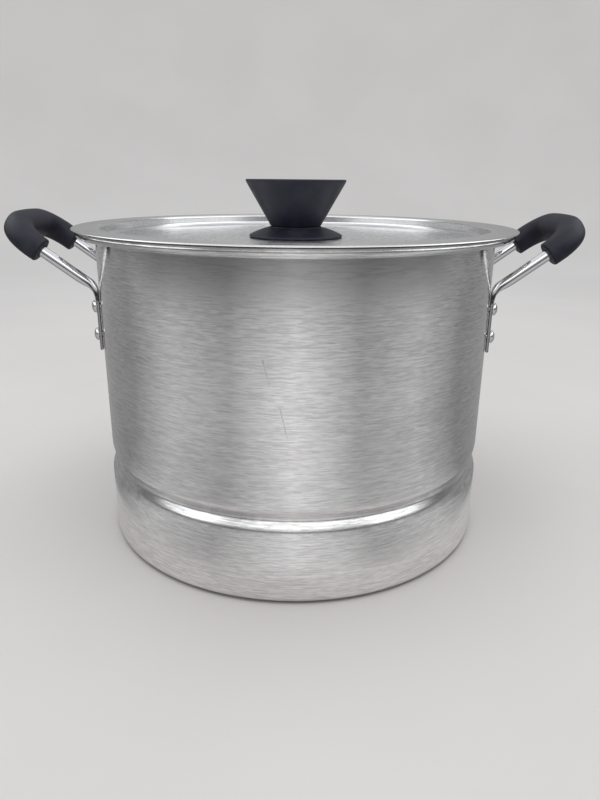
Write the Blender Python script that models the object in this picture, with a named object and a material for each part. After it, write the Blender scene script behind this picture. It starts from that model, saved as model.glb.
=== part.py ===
"""Steamer pot: a spun aluminium stock pot with a loose lid, two riveted tube handles and a lift-out rack.

Metres, +Z up. The origin is the centre of the pot's underside. The handles stand out along -X and +X,
and "front" is the -Y side.
"""

import math

import bmesh
import bpy
from mathutils import Vector

# Clearances
GAP = 0.0003  # between pieces that touch on the real object
LID_PLUG_CLEARANCE = 0.0012  # lid recess inside the pot's mouth
RACK_CLEARANCE = 0.0022  # rack rim inside the wall above the shoulder

# Pot
POT_RADIUS = 0.150  # outside of the straight wall
LIP_HEIGHT = 0.2363  # top of the lip
SHEET = 0.0016  # gauge of the pot
BASE_CORNER = 0.006  # outer radius between the base and the band
BAND_STEP = 0.0010  # the band below the groove stands this proud of the wall
BAND_HEIGHT = 0.054  # base to the sharp edge where the ledge meets the band
BAND_FILLET = 0.008
GROOVE_DEPTH = 0.0056
LEDGE_SLOPE = math.radians(48)
SHOULDER_RADIUS = 0.024  # the wall's turn into the groove
GROOVE_FILLET = 0.0022
LIP_BEND = 0.0057  # outside radius of the lip's flare
LIP_REACH = 0.0132  # how far the lip stands out from the wall
LIP_ROLL = 0.0026  # outside radius of the edge rolled down under the lip

# Lid
LID_SHEET = 0.0012
LID_OVERHANG = 0.0025  # past the pot's lip
LID_RECESS = 0.0090
LID_RIM_FILLET = 0.0018
LID_PANEL_FILLET = 0.0032

# Knob
KNOB_TOP_RADIUS = 0.0382
KNOB_NECK_RADIUS = 0.0194
KNOB_HEIGHT = 0.0340
KNOB_DISH_RADIUS = 0.0345
KNOB_DISH_DEPTH = 0.0012
KNOB_CHAMFER = 0.0006
KNOB_RIM_HEIGHT = 0.0018  # the nearly upright band under the knob's top edge
KNOB_RIM_DRAFT = 0.0002
SKIRT_RADIUS = 0.0360
SKIRT_HEIGHT = 0.0078
SKIRT_RIM = 0.0014
SKIRT_WALL = 0.0022
SKIRT_BULGE = 0.0006  # how far the slope's middle stands above a straight line
SKIRT_SLOPE_STEPS = 3
SKIRT_HUB_RADIUS = 0.0100
SKIRT_SEAT_MARGIN = 0.0004  # flat seat past the knob's neck
SKIRT_CHAMFER = 0.0006
SKIRT_EDGE = 0.0004  # chamfer of the rim that stands on the lid
INSERT_RADIUS = 0.0045
INSERT_LENGTH = 0.0140
SCREW_RADIUS = 0.0020
SCREW_REACH = 0.0120  # how far the screw goes into the insert
SCREW_HEAD_RADIUS = 0.0045
SCREW_HEAD_HEIGHT = 0.0025
SCREW_SLOT_WIDTH = 0.0011
SCREW_SLOT_DEPTH = 0.0012
SCREW_POINT = 0.0006  # chamfer round the screw's tip
SCREW_POINT_LENGTH = 0.0010
SCREW_HEAD_CROWN = 0.0015  # height of the head's bevel
SCREW_HEAD_BEVEL = 0.0011  # width of the head's bevel
WASHER_RADIUS = 0.0070
WASHER_THICKNESS = 0.0010

# Handles
HANDLE_SPREAD = 0.076  # between the two legs of one handle
TUBE_RADIUS = 0.0040
FOOT_WIDTH = 0.0120
FOOT_THICKNESS = 0.0025
LEG_CORNER_DROP = 0.0409  # from the lip's top down to where the foot's line meets the leg's line
FOOT_LENGTH = 0.0474  # from that corner down to the foot's end
LEG_LENGTH = 0.0467  # from that corner to the start of the bow
LEG_SLOPE = math.radians(36)
LEG_BEND = 0.009
BOW_BEND = 0.022
FLATTENING_LENGTH = 0.016  # over which the round tube becomes the flat foot
BEND_SQUASH_LOW = 0.85  # how flat the tube is where its bend starts, from 0 round to 1 flat
BEND_SQUASH_HIGH = 0.09  # and where the bend ends

# Grips
GRIP_ON_LEG = 0.004  # how far a grip reaches past the bow onto each leg
GRIP_END_WIDTH = 0.0186
GRIP_END_THICKNESS = 0.0178
GRIP_MID_WIDTH = 0.0208
GRIP_MID_THICKNESS = 0.0204
GRIP_OFFSET = 0.0010  # the grip's middle stands this much outside and above the tube
GRIP_SWELL = 1.2  # power of the swelling's sine
GRIP_SQUARENESS = 2.4  # exponent of the section's superellipse
FOOT_SQUARENESS = 5.0

# Rivets
RIVET_RADIUS = 0.0025
RIVET_HEAD_RADIUS = 0.0048
RIVET_HEAD_HEIGHT = 0.0031
RIVET_TAIL_HEIGHT = 0.0013
RIVET_TAIL_BEVEL = 0.0014
RIVET_TAIL_EDGE = 0.0010
RIVET_DOME_ANGLES = (55, 25)  # degrees up the dome, between its top and its edge
RIVET_LOW = 0.0115  # lower rivet above the bottom of the foot
RIVET_PITCH = 0.0210

# Rack
RACK_SHEET = 0.0015
RACK_RIM_HEIGHT = 0.0070
RACK_RIM_FILLET = 0.0020
RACK_HOLE_RADIUS = 0.0045
RACK_FINGER_HOLE_RADIUS = 0.0110
RACK_HOLE_PITCH = 0.0290  # between the rings of holes
RACK_FIRST_RING = 0.0055  # the first ring stands this much past one pitch
RACK_EDGE_MARGIN = 0.0027  # least metal between the outer ring of holes and the rim's fillet
RACK_HOLES_PER_RING = 5  # more in each ring than in the one inside it

# Facets
POT_SEGMENTS = 48
KNOB_SEGMENTS = 32
SMALL_SEGMENTS = 16
RIVET_SEGMENTS = 10
TUBE_SIDES = 12
HOLE_SIDES = 8
BEND_STEPS = 4
BOW_STEPS = 5
SHARP_ANGLE = math.radians(32)

# Values that follow from the ones above
INNER_RADIUS = POT_RADIUS - SHEET
BAND_RADIUS = POT_RADIUS + BAND_STEP
NECK_RADIUS = POT_RADIUS - GROOVE_DEPTH
LEDGE_HEIGHT = (BAND_RADIUS - NECK_RADIUS) * math.tan(LEDGE_SLOPE)
NECK_HEIGHT = BAND_HEIGHT + LEDGE_HEIGHT
SHOULDER_ANGLE = math.acos(1 - GROOVE_DEPTH / SHOULDER_RADIUS)
SHOULDER_HEIGHT = NECK_HEIGHT + SHOULDER_RADIUS * math.sin(SHOULDER_ANGLE)
LIP_RADIUS = POT_RADIUS + LIP_REACH
LID_RADIUS = LIP_RADIUS + LID_OVERHANG
LID_UNDERSIDE = LIP_HEIGHT + GAP
LID_TOP = LID_UNDERSIDE + LID_SHEET
PLUG_RADIUS = INNER_RADIUS - LID_PLUG_CLEARANCE
PANEL_TOP = LID_TOP - LID_RECESS
PANEL_UNDERSIDE = PANEL_TOP - LID_SHEET
SCREW_HOLE_RADIUS = SCREW_RADIUS + GAP
SKIRT_BOTTOM = PANEL_TOP + GAP
KNOB_BOTTOM = SKIRT_BOTTOM + SKIRT_HEIGHT + GAP
FOOT_RADIUS = POT_RADIUS + GAP + FOOT_THICKNESS / 2  # pot's axis to the middle of a foot
FOOT_ANGLE = math.asin(HANDLE_SPREAD / 2 / FOOT_RADIUS)
LEG_CORNER_HEIGHT = LIP_HEIGHT - LEG_CORNER_DROP
FOOT_BOTTOM = LEG_CORNER_HEIGHT - FOOT_LENGTH
RACK_RADIUS = INNER_RADIUS - RACK_CLEARANCE


def clear_scene():
    for old in list(bpy.data.objects):
        bpy.data.objects.remove(old, do_unlink=True)


def material(name, colour, roughness, metallic):
    made = bpy.data.materials.new(name)
    made.use_nodes = True
    shader = made.node_tree.nodes["Principled BSDF"]
    shader.inputs["Base Color"].default_value = (*colour, 1)
    shader.inputs["Roughness"].default_value = roughness
    shader.inputs["Metallic"].default_value = metallic
    return made


def arc(centre, radius, start, end, steps):
    """Points from angle start to angle end, in degrees, in the (radius, height) plane."""
    angles = [math.radians(start + (end - start) * i / steps) for i in range(steps + 1)]
    return [(centre[0] + radius * math.cos(a), centre[1] + radius * math.sin(a)) for a in angles]


def fillet(before, corner, after, radius, steps):
    """The arc that rounds a corner between two straight stretches."""
    corner = Vector(corner)
    into = (Vector(before) - corner).normalized()
    out = (Vector(after) - corner).normalized()
    half = into.angle(out) / 2
    centre = corner + (into + out).normalized() * radius / math.sin(half)
    first = corner + into * radius / math.tan(half) - centre
    sweep = math.pi - 2 * half
    if into.cross(out) > 0:
        sweep = -sweep
    start = math.atan2(first.y, first.x)
    return arc(centre, radius, math.degrees(start), math.degrees(start + sweep), steps)


def offset(outline, distance):
    """The outline moved to its left, with mitred corners. Points on the axis stay on it."""
    moved = []
    for i, point in enumerate(outline):
        here = Vector(point)
        before = (here - Vector(outline[i - 1])).normalized() if i else None
        after = (Vector(outline[i + 1]) - here).normalized() if i < len(outline) - 1 else None
        before = before or after
        after = after or before
        left = (Vector((-before.y, before.x)) + Vector((-after.y, after.x))).normalized()
        stretch = distance / left.dot(Vector((-before.y, before.x)))
        moved.append(tuple(here + left * stretch))
    return moved


def finish_mesh(name, bm, mat):
    bmesh.ops.recalc_face_normals(bm, faces=bm.faces)
    mesh = bpy.data.meshes.new(name)
    bm.to_mesh(mesh)
    bm.free()
    mesh.shade_smooth()
    mesh.set_sharp_from_angle(angle=SHARP_ANGLE)
    mesh.materials.append(mat)
    return mesh


def place(name, mesh, parent=None):
    made = bpy.data.objects.new(name, mesh)
    bpy.context.scene.collection.objects.link(made)
    made.parent = parent
    return made


def turned_mesh(name, outline, segments, mat):
    """A solid of revolution about Z. An outline that starts on the axis also ends on it, and others close."""
    bm = bmesh.new()
    verts = [bm.verts.new((r, 0, z)) for r, z in outline]
    edges = [bm.edges.new(pair) for pair in zip(verts, verts[1:])]
    if outline[0][0] > 0:
        edges.append(bm.edges.new((verts[-1], verts[0])))
    bmesh.ops.spin(
        bm,
        geom=verts + edges,
        axis=(0, 0, 1),
        cent=(0, 0, 0),
        angle=2 * math.pi,
        steps=segments,
        use_merge=True,
    )
    bmesh.ops.remove_doubles(bm, verts=bm.verts, dist=1e-6)
    return finish_mesh(name, bm, mat)


def swept_mesh(name, rings, mat, bore=None):
    """A skin over rings of points. With bore, a second set of rings hollows it from end to end."""
    bm = bmesh.new()

    def skin(loops):
        made = [[bm.verts.new(p) for p in loop] for loop in loops]
        for one, two in zip(made, made[1:]):
            for i in range(len(one)):
                j = (i + 1) % len(one)
                bm.faces.new((one[i], one[j], two[j], two[i]))
        return made

    outer = skin(rings)
    if bore is None:
        bm.faces.new(outer[0])
        bm.faces.new(outer[-1])
    else:
        inner = skin(bore)
        for end in (0, -1):
            for i in range(len(outer[end])):
                j = (i + 1) % len(outer[end])
                bm.faces.new((outer[end][i], outer[end][j], inner[end][j], inner[end][i]))
    return finish_mesh(name, bm, mat)


def cutter(name, mesh, parent=None):
    made = place(name, mesh, parent)
    made.hide_render = True
    made.display_type = "WIRE"
    return made


def cut(target, tool):
    modifier = target.modifiers.new("cut_" + tool.name, "BOOLEAN")
    modifier.operation = "DIFFERENCE"
    modifier.object = tool
    modifier.solver = "EXACT"


def add_rod(bm, start, end, radius, sides):
    """A closed cylinder between two points, added to bm."""
    start, end = Vector(start), Vector(end)
    axis = (end - start).normalized()
    side = axis.orthogonal().normalized()
    up = axis.cross(side)
    ends = []
    turn = [2 * math.pi * i / sides for i in range(sides)]
    spokes = [radius * (side * math.cos(a) + up * math.sin(a)) for a in turn]
    for middle in (start, end):
        ends.append([bm.verts.new(middle + spoke) for spoke in spokes])
    bm.faces.new(ends[0])
    bm.faces.new(ends[1])
    for i in range(sides):
        j = (i + 1) % sides
        bm.faces.new((ends[0][i], ends[0][j], ends[1][j], ends[1][i]))


# ---- Pot ----


def pot_outside():
    """The pot's outer surface from the middle of the base, up the wall, to the edge of the lip."""
    band_edge = (BAND_RADIUS, BAND_HEIGHT)
    neck = (NECK_RADIUS, NECK_HEIGHT)
    shoulder_centre = (POT_RADIUS - SHOULDER_RADIUS, SHOULDER_HEIGHT)
    shoulder = arc(shoulder_centre, SHOULDER_RADIUS, -math.degrees(SHOULDER_ANGLE), 0, 5)
    flare_start = LIP_HEIGHT - SHEET - LIP_BEND
    points = [(0, 0)]
    points += arc((BAND_RADIUS - BASE_CORNER, BASE_CORNER), BASE_CORNER, -90, 0, 3)
    points += fillet((BAND_RADIUS, 0), band_edge, neck, BAND_FILLET, 3)
    points += fillet(band_edge, neck, shoulder[1], GROOVE_FILLET, 2)
    points += shoulder[2:]
    points += arc((POT_RADIUS + LIP_BEND, flare_start), LIP_BEND, 180, 90, 4)
    roll_centre = (LIP_RADIUS - LIP_ROLL, LIP_HEIGHT - LIP_ROLL)
    points += arc(roll_centre, LIP_ROLL - SHEET, 90, -90, 6)
    return points


def make_pot(mat):
    outside = pot_outside()
    outline = offset(outside, SHEET) + outside[::-1]
    outline[0] = (0, SHEET)
    return place("pot_shell", turned_mesh("pot_shell", outline, POT_SEGMENTS, mat))


# ---- Lid ----


def lid_top_side():
    """The lid's upper surface from the screw hole out to its edge."""
    wall = PLUG_RADIUS - LID_SHEET
    hole = (SCREW_HOLE_RADIUS, PANEL_TOP)
    foot = (wall, PANEL_TOP)
    head = (wall, LID_TOP)
    edge = (LID_RADIUS, LID_TOP)
    panel_corner = fillet(hole, foot, head, LID_PANEL_FILLET, 2)
    rim_corner = fillet(foot, head, edge, LID_RIM_FILLET, 2)
    return [hole, *panel_corner, *rim_corner, edge]


def make_lid(mat):
    top = lid_top_side()
    under = offset(top, -LID_SHEET)
    return place("lid_shell", turned_mesh("lid_shell", top + under[::-1], POT_SEGMENTS, mat))


def make_knob(mat, lid):
    """An inverted cone with a shallow dish on top and a blind hole for the threaded insert."""
    top = KNOB_BOTTOM + KNOB_HEIGHT
    pocket = INSERT_RADIUS + GAP
    outline = [
        (0, top - KNOB_DISH_DEPTH),
        (KNOB_DISH_RADIUS, top - KNOB_DISH_DEPTH),
        (KNOB_DISH_RADIUS + KNOB_DISH_DEPTH, top),
        (KNOB_TOP_RADIUS - KNOB_CHAMFER, top),
        (KNOB_TOP_RADIUS, top - KNOB_CHAMFER),
        (KNOB_TOP_RADIUS - KNOB_RIM_DRAFT, top - KNOB_RIM_HEIGHT),
        (KNOB_NECK_RADIUS, KNOB_BOTTOM),
        (pocket, KNOB_BOTTOM),
        (pocket, KNOB_BOTTOM + INSERT_LENGTH + 2 * GAP),
        (0, KNOB_BOTTOM + INSERT_LENGTH + 2 * GAP),
    ]
    return place("knob", turned_mesh("knob", outline, KNOB_SEGMENTS, mat), lid)


def make_skirt(mat, lid):
    """The heat guard under the knob: a moulded cup, hollow below, standing on the lid on its hub and rim."""
    top = SKIRT_BOTTOM + SKIRT_HEIGHT
    seat = KNOB_NECK_RADIUS + SKIRT_SEAT_MARGIN
    crown = top - SKIRT_WALL
    inner = (seat + SKIRT_CHAMFER, top - SKIRT_CHAMFER)
    outer = (SKIRT_RADIUS, SKIRT_BOTTOM + SKIRT_RIM)
    slope = []
    for i in range(SKIRT_SLOPE_STEPS + 1):
        share = i / SKIRT_SLOPE_STEPS
        radius = inner[0] + (outer[0] - inner[0]) * share
        height = inner[1] + (outer[1] - inner[1]) * share
        slope.append((radius, height + 4 * SKIRT_BULGE * share * (1 - share)))
    outline = [
        (SCREW_HOLE_RADIUS, top),
        (seat, top),
        *slope,
        (SKIRT_RADIUS, SKIRT_BOTTOM + SKIRT_EDGE),
        (SKIRT_RADIUS - SKIRT_EDGE, SKIRT_BOTTOM),
        (SKIRT_RADIUS - SKIRT_WALL, SKIRT_BOTTOM),
        (seat, crown),
        (SKIRT_HUB_RADIUS, crown),
        (SKIRT_HUB_RADIUS, SKIRT_BOTTOM),
        (SCREW_HOLE_RADIUS, SKIRT_BOTTOM),
    ]
    return place("knob_skirt", turned_mesh("knob_skirt", outline, KNOB_SEGMENTS, mat), lid)


def make_insert(mat, lid):
    low = KNOB_BOTTOM + GAP
    high = low + INSERT_LENGTH
    outline = [
        (SCREW_HOLE_RADIUS, high),
        (INSERT_RADIUS, high),
        (INSERT_RADIUS, low),
        (SCREW_HOLE_RADIUS, low),
    ]
    return place("knob_insert", turned_mesh("knob_insert", outline, SMALL_SEGMENTS, mat), lid)


def make_washer(mat, lid):
    high = PANEL_UNDERSIDE - GAP
    low = high - WASHER_THICKNESS
    outline = [
        (SCREW_HOLE_RADIUS, high),
        (WASHER_RADIUS, high),
        (WASHER_RADIUS, low),
        (SCREW_HOLE_RADIUS, low),
    ]
    return place("knob_washer", turned_mesh("knob_washer", outline, SMALL_SEGMENTS, mat), lid)


def make_screw(mat, lid):
    """A slotted pan-head screw that comes up through the lid and the skirt into the insert."""
    head_top = PANEL_UNDERSIDE - 2 * GAP - WASHER_THICKNESS
    head_low = head_top - SCREW_HEAD_HEIGHT
    tip = KNOB_BOTTOM + SCREW_REACH
    outline = [
        (0, tip),
        (SCREW_RADIUS - SCREW_POINT, tip),
        (SCREW_RADIUS, tip - SCREW_POINT_LENGTH),
        (SCREW_RADIUS, head_top),
        (SCREW_HEAD_RADIUS, head_top),
        (SCREW_HEAD_RADIUS, head_top - SCREW_HEAD_HEIGHT + SCREW_HEAD_CROWN),
        (SCREW_HEAD_RADIUS - SCREW_HEAD_BEVEL, head_low),
        (0, head_low),
    ]
    screw = place("knob_screw", turned_mesh("knob_screw", outline, SMALL_SEGMENTS, mat), lid)
    bm = bmesh.new()
    bmesh.ops.create_cube(bm, size=1)
    slot = (3 * SCREW_HEAD_RADIUS, SCREW_SLOT_WIDTH, 2 * SCREW_SLOT_DEPTH)
    bmesh.ops.scale(bm, vec=slot, verts=bm.verts)
    bmesh.ops.translate(bm, vec=(0, 0, head_low), verts=bm.verts)
    cut(screw, cutter("screw_slot", finish_mesh("screw_slot", bm, mat), lid))
    return screw


# ---- Handles ----


def handle_path():
    """The tube's centreline on the +X side, as (point, direction, flat, squash) from front foot to back foot.

    flat is the normal of the foot's flat face or of the bow's plane, and squash goes from 0 on the round
    tube to 1 on the flat foot.
    """
    set_back = Vector(((TUBE_RADIUS - FOOT_THICKNESS / 2) / math.cos(FOOT_ANGLE), 0, 0))
    wall_line = Vector((FOOT_RADIUS * math.cos(FOOT_ANGLE), -HANDLE_SPREAD / 2, 0)) + set_back
    up = Vector((0, 0, 1))
    out = Vector((math.cos(LEG_SLOPE), 0, math.sin(LEG_SLOPE)))
    bow_normal = Vector((-math.sin(LEG_SLOPE), 0, math.cos(LEG_SLOPE)))
    inward = Vector((-math.cos(FOOT_ANGLE), math.sin(FOOT_ANGLE), 0))
    corner = wall_line + up * LEG_CORNER_HEIGHT
    turn = math.pi / 2 - LEG_SLOPE
    tangent = LEG_BEND * math.tan(turn / 2)
    flat_top = LEG_CORNER_HEIGHT - tangent - FLATTENING_LENGTH / 2

    foot_line = wall_line - set_back
    half = [(foot_line + up * height, up, inward, 1.0) for height in (FOOT_BOTTOM, flat_top)]
    bend_centre = corner + Vector((LEG_BEND, 0, -tangent))
    for i in range(BEND_STEPS + 1):
        share = i / BEND_STEPS
        angle = turn * share
        spoke = Vector((-math.cos(angle), 0, math.sin(angle)))
        direction = Vector((math.sin(angle), 0, math.cos(angle)))
        squash = BEND_SQUASH_LOW + (BEND_SQUASH_HIGH - BEND_SQUASH_LOW) * share
        point = bend_centre + spoke * LEG_BEND - set_back * squash
        half.append((point, direction, inward.lerp(bow_normal, share), squash))
    half.append((corner + out * (tangent + FLATTENING_LENGTH / 2), out, bow_normal, 0.0))
    bow_start = corner + out * LEG_LENGTH
    half.append((bow_start - out * GRIP_ON_LEG, out, bow_normal, 0.0))
    bow_centre = bow_start + Vector((0, BOW_BEND, 0))
    for i in range(BOW_STEPS + 1):
        angle = math.pi / 2 * i / BOW_STEPS
        spoke = out * math.sin(angle) - Vector((0, math.cos(angle), 0))
        direction = out * math.cos(angle) + Vector((0, math.sin(angle), 0))
        half.append((bow_centre + spoke * BOW_BEND, direction, bow_normal, 0.0))
    mirror = Vector((1, -1, 1))
    back = [(p * mirror, -d * mirror, n * mirror, s) for p, d, n, s in reversed(half)]
    return half + back


def superellipse(steps, width, thickness, exponent, phase=0.5):
    """Points round a section, as (across, through) pairs. At phase 0 some lie on its widest lines."""
    made = []
    for i in range(steps):
        angle = 2 * math.pi * (i + phase) / steps
        c, s = math.cos(angle), math.sin(angle)
        across = math.copysign(abs(c) ** (2 / exponent), c) * width / 2
        through = math.copysign(abs(s) ** (2 / exponent), s) * thickness / 2
        made.append((across, through))
    return made


def section(point, direction, flat, pairs):
    """Places a section square to the path, with its thickness along flat."""
    flat = (flat - direction * flat.dot(direction)).normalized()
    side = flat.cross(direction)
    return [point + side * across + flat * through for across, through in pairs]


def tube_rings():
    rings = []
    for point, direction, flat, squash in handle_path():
        width = 2 * TUBE_RADIUS + (FOOT_WIDTH - 2 * TUBE_RADIUS) * squash
        thickness = 2 * TUBE_RADIUS + (FOOT_THICKNESS - 2 * TUBE_RADIUS) * squash
        exponent = 2 + (FOOT_SQUARENESS - 2) * squash
        pairs = superellipse(TUBE_SIDES, width, thickness, exponent)
        rings.append(section(point, direction, flat, pairs))
    return rings


def grip_rings():
    """The grip's skin and its bore, from end to end along the bow."""
    path = [step for step in handle_path() if step[3] == 0.0][1:-1]
    lengths = [0.0]
    for one, two in zip(path, path[1:]):
        lengths.append(lengths[-1] + (two[0] - one[0]).length)
    hole = 2 * (TUBE_RADIUS + GAP)
    skin, bore = [], []
    for (point, direction, flat, _), length in zip(path, lengths):
        swell = max(0.0, math.sin(math.pi * length / lengths[-1])) ** GRIP_SWELL
        width = GRIP_END_WIDTH + (GRIP_MID_WIDTH - GRIP_END_WIDTH) * swell
        thickness = GRIP_END_THICKNESS + (GRIP_MID_THICKNESS - GRIP_END_THICKNESS) * swell
        outward = direction.cross(flat).normalized()
        middle = point + (outward + flat) * GRIP_OFFSET * swell
        around = superellipse(TUBE_SIDES, width, thickness, GRIP_SQUARENESS, 0)
        skin.append(section(middle, direction, flat, around))
        bore.append(section(point, direction, flat, superellipse(TUBE_SIDES, hole, hole, 2)))
    return skin, bore


def foot_axes():
    """The four feet: the side, the end of the handle, and the direction out from the pot's axis."""
    for side, turn in (("left", math.pi), ("right", 0.0)):
        for end, lean in (("front", -FOOT_ANGLE), ("back", FOOT_ANGLE)):
            angle = turn + (lean if side == "right" else -lean)
            yield side, end, Vector((math.cos(angle), math.sin(angle), 0))


def rivet_heights():
    low = FOOT_BOTTOM + RIVET_LOW
    return {"lower": low, "upper": low + RIVET_PITCH}


def rivet_outline():
    """Turned about the rivet's own axis, with z = 0 on the outside of the pot's wall."""
    seat = 2 * GAP + FOOT_THICKNESS
    tail = -SHEET - GAP - RIVET_HEAD_RADIUS * math.tan(math.pi / POT_SEGMENTS)
    outline = [(0, seat + RIVET_HEAD_HEIGHT)]
    for angle in RIVET_DOME_ANGLES:
        across = RIVET_HEAD_RADIUS * math.cos(math.radians(angle))
        above = RIVET_HEAD_HEIGHT * math.sin(math.radians(angle))
        outline.append((across, seat + above))
    outline += [
        (RIVET_HEAD_RADIUS, seat),
        (RIVET_RADIUS, seat),
        (RIVET_RADIUS, tail),
        (RIVET_HEAD_RADIUS, tail),
        (RIVET_HEAD_RADIUS - RIVET_TAIL_BEVEL, tail - RIVET_TAIL_EDGE),
        (0, tail - RIVET_TAIL_HEIGHT),
    ]
    return outline


def make_rivets(mat, pot):
    mesh = turned_mesh("rivet", rivet_outline(), RIVET_SEGMENTS, mat)
    for side, end, axis in foot_axes():
        for level, height in rivet_heights().items():
            rivet = place(f"rivet_{side}_{end}_{level}", mesh, pot)
            rivet.location = axis * POT_RADIUS + Vector((0, 0, height))
            rivet.rotation_mode = "QUATERNION"
            rivet.rotation_quaternion = axis.to_track_quat("Z", "Y")


def make_rivet_holes(mat, pot):
    bm = bmesh.new()
    for _, _, axis in foot_axes():
        for height in rivet_heights().values():
            middle = axis * POT_RADIUS + Vector((0, 0, height))
            reach = axis * (FOOT_THICKNESS + 4 * SHEET)
            add_rod(bm, middle - reach, middle + reach, RIVET_RADIUS + GAP, RIVET_SEGMENTS)
    return cutter("rivet_holes", finish_mesh("rivet_holes", bm, mat), pot)


def make_handles(chrome, plastic, pot, holes):
    tube_mesh = swept_mesh("handle_tube", tube_rings(), chrome)
    skin, bore = grip_rings()
    grip_mesh = swept_mesh("grip", skin, plastic, bore)
    for side, turn in (("left", math.pi), ("right", 0.0)):
        tube = place("handle_tube_" + side, tube_mesh, pot)
        tube.rotation_euler.z = turn
        cut(tube, holes)
        grip = place("grip_" + side, grip_mesh, pot)
        grip.rotation_euler.z = turn


# ---- Rack ----


def rack_height():
    """Top of the rack when its rim rests on the inside of the groove's shoulder."""
    inside = SHOULDER_RADIUS - SHEET - GAP
    from_centre = RACK_RADIUS - (POT_RADIUS - SHOULDER_RADIUS)
    return SHOULDER_HEIGHT - math.sqrt(inside**2 - from_centre**2) + RACK_RIM_HEIGHT


def rack_holes(top):
    """Rings of steam holes, one pitch apart, each ring with more holes than the one inside it."""
    bm = bmesh.new()
    last = RACK_RADIUS - RACK_RIM_FILLET - RACK_EDGE_MARGIN - RACK_HOLE_RADIUS
    rings = int((last - RACK_FIRST_RING) / RACK_HOLE_PITCH)
    reach = Vector((0, 0, 2 * RACK_SHEET))
    for ring in range(1, rings + 1):
        radius = RACK_FIRST_RING + ring * RACK_HOLE_PITCH
        count = RACK_HOLES_PER_RING * ring
        for i in range(count):
            angle = 2 * math.pi * (i + 0.5 * (ring % 2)) / count
            middle = Vector((radius * math.cos(angle), radius * math.sin(angle), top))
            add_rod(bm, middle - reach, middle + reach, RACK_HOLE_RADIUS, HOLE_SIDES)
    return bm


def make_rack(mat):
    """A perforated disc with a rim turned down all round and a finger hole in the middle."""
    top = rack_height()
    hole = (RACK_FINGER_HOLE_RADIUS, top)
    edge = (RACK_RADIUS, top)
    low = (RACK_RADIUS, top - RACK_RIM_HEIGHT)
    upper = [hole, *fillet(hole, edge, low, RACK_RIM_FILLET, 2), low]
    outline = upper + offset(upper, -RACK_SHEET)[::-1]
    rack = place("steaming_rack", turned_mesh("steaming_rack", outline, POT_SEGMENTS, mat))
    cut(rack, cutter("rack_holes", finish_mesh("rack_holes", rack_holes(top), mat), rack))


def main():
    clear_scene()
    aluminium = material("brushed_aluminium", (0.62, 0.60, 0.60), 0.32, 1.0)
    lid_metal = material("lid_aluminium", (0.72, 0.71, 0.71), 0.25, 1.0)
    rack_metal = material("rack_aluminium", (0.66, 0.66, 0.66), 0.40, 1.0)
    chrome = material("chrome", (0.80, 0.80, 0.82), 0.08, 1.0)
    steel = material("rivet_steel", (0.62, 0.62, 0.63), 0.25, 1.0)
    brass = material("insert_brass", (0.70, 0.55, 0.27), 0.35, 1.0)
    plastic = material("black_plastic", (0.022, 0.021, 0.028), 0.48, 0.0)

    pot = make_pot(aluminium)
    holes = make_rivet_holes(aluminium, pot)
    cut(pot, holes)
    make_handles(chrome, plastic, pot, holes)
    make_rivets(steel, pot)
    make_rack(rack_metal)

    lid = make_lid(lid_metal)
    make_knob(plastic, lid)
    make_skirt(plastic, lid)
    make_insert(brass, lid)
    make_washer(steel, lid)
    make_screw(steel, lid)


main()
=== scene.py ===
"""Steamer pot: looks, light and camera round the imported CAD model. Metres, +Z up."""

import math

import bmesh
import bpy
from mathutils import Matrix, Vector


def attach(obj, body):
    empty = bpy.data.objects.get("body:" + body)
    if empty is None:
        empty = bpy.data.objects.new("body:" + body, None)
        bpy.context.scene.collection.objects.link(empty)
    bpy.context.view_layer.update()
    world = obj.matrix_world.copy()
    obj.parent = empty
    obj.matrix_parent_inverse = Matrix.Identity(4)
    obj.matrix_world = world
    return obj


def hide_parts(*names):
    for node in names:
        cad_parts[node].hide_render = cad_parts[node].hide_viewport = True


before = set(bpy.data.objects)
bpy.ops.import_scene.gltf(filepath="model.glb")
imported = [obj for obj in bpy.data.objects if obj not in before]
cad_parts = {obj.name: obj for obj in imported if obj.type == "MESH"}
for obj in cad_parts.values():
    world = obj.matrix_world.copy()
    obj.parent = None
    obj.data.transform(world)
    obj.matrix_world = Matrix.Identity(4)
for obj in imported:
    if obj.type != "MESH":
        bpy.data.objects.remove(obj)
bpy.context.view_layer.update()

# ---- Sizes, as in the CAD ----

GAP = 0.0003
POT_RADIUS = 0.150
LIP_HEIGHT = 0.2363
SHEET = 0.0016
BASE_CORNER = 0.006
BAND_RADIUS = 0.151
BAND_HEIGHT = 0.054
BAND_FILLET = 0.008
GROOVE_DEPTH = 0.0056
LEDGE_SLOPE = math.radians(48)
SHOULDER_RADIUS = 0.024
GROOVE_FILLET = 0.0022
LIP_BEND = 0.0057
LIP_RADIUS = 0.1632
LIP_ROLL = 0.0026
NECK_RADIUS = POT_RADIUS - GROOVE_DEPTH
NECK_HEIGHT = BAND_HEIGHT + (BAND_RADIUS - NECK_RADIUS) * math.tan(LEDGE_SLOPE)
SHOULDER_ANGLE = math.acos(1 - GROOVE_DEPTH / SHOULDER_RADIUS)
SHOULDER_HEIGHT = NECK_HEIGHT + SHOULDER_RADIUS * math.sin(SHOULDER_ANGLE)
INNER_RADIUS = POT_RADIUS - SHEET

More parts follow.
